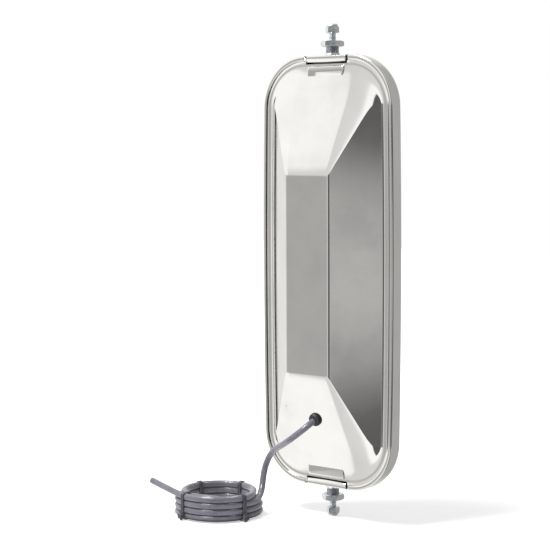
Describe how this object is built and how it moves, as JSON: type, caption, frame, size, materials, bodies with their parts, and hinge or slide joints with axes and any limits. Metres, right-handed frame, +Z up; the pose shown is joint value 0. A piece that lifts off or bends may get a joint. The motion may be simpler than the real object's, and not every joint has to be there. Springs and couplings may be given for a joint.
{
  "type": "heated vehicle mirror head",
  "caption": "Tall polished stainless vehicle mirror head with a faceted back, end studs with lock nuts that clamp mounting arms, and a coiled heater cable.",
  "frame": {"origin": "on the stud axis, at the outer face of the lower hex nut, where the lower mounting arm bears", "axes": "+Z up along the stud axis, +Y out of the glass, +X to the right seen from the back"},
  "size_m": [0.2313, 0.1185, 0.464],
  "materials": {
    "polished_stainless": "polished stainless sheet",
    "zinc_steel": "zinc plated",
    "dark_steel": "plated, dark",
    "black_steel": "black coated",
    "sintered_bronze": "plain",
    "mirror_glass": "silvered on the back",
    "black_rubber": "matt",
    "heater_film": "film",
    "foam": "matt",
    "cable_jacket": "satin",
    "grey_nylon": "satin",
    "white_nylon": "satin",
    "splice_nylon": "gloss",
    "wire_red": "satin",
    "tinned_brass": "plain",
    "aluminium": "plain"
  },
  "bodies": {
    "lower_stud": {"lower_stud": "zinc_steel", "lower_neck_sleeve": "dark_steel", "lower_hex_nut": "zinc_steel", "lower_thrust_washer": "zinc_steel", "lower_wave_washer": "dark_steel"},
    "head": {"back_shell": "polished_stainless", "rim_left": "polished_stainless", "rim_right": "polished_stainless", "upper_clip": "polished_stainless", "lower_clip": "polished_stainless", "mirror_glass": "mirror_glass", "glass_gasket": "black_rubber", "heater_pad": "heater_film", "foam_sheet": "foam", "backing_pan": "zinc_steel", "spine_strap": "black_steel", "strap_spacers": "zinc_steel", "strap_rivets": "aluminium", "upper_bushing": "zinc_steel", "lower_bushing": "zinc_steel", "grommet": "black_rubber", "inner_cable": "cable_jacket", "cable_clamp": "grey_nylon", "clamp_screw": "zinc_steel", "wire_splices": "splice_nylon", "heater_wires": "wire_red", "heater_terminals": "tinned_brass", "thermostat": "aluminium", "lead_cable": "cable_jacket", "cable_coil": "cable_jacket", "cable_tail": "cable_jacket", "cable_ties": "grey_nylon"},
    "upper_stud": {"upper_stud": "zinc_steel", "upper_neck_sleeve": "dark_steel", "upper_hex_nut": "zinc_steel", "upper_thrust_washer": "zinc_steel", "upper_wave_washer": "dark_steel"},
    "lower_ring": {"lower_nut_ring": "white_nylon"},
    "lower_nut": {"lower_lock_nut": "zinc_steel"},
    "upper_ring": {"upper_nut_ring": "white_nylon"},
    "upper_nut": {"upper_lock_nut": "zinc_steel"}
  },
  "joints": [
    {"name": "head_swivel", "type": "hinge", "parent": "lower_stud", "child": "head", "pos_m": [0, 0, 0], "axis": [0, 0, 1], "range_deg": [-90, 90]},
    {"name": "upper_stud_turn", "type": "hinge", "parent": "head", "child": "upper_stud", "pos_m": [0, 0, 0.433], "axis": [0, 0, 1], "range_deg": [-90, 90]},
    {"name": "lower_nut_travel", "type": "slide", "parent": "lower_stud", "child": "lower_ring", "axis": [0, 0, 1], "range_m": [-0.0084, 0]},
    {"name": "lower_nut_turn", "type": "hinge", "parent": "lower_ring", "child": "lower_nut", "pos_m": [0, 0, 0], "axis": [0, 0, 1], "range_deg": [-2340, 0]},
    {"name": "upper_nut_travel", "type": "slide", "parent": "upper_stud", "child": "upper_ring", "axis": [0, 0, 1], "range_m": [0, 0.0084]},
    {"name": "upper_nut_turn", "type": "hinge", "parent": "upper_ring", "child": "upper_nut", "pos_m": [0, 0, 0.433], "axis": [0, 0, 1], "range_deg": [0, 2340]}
  ],
  "couplings": [
    {"joint": "upper_stud_turn", "follows": "head_swivel", "ratio": -1},
    {"joint": "lower_nut_travel", "follows": "lower_nut_turn", "m_per_rad": 0.00020213},
    {"joint": "upper_nut_travel", "follows": "upper_nut_turn", "m_per_rad": 0.00020213}
  ]
}
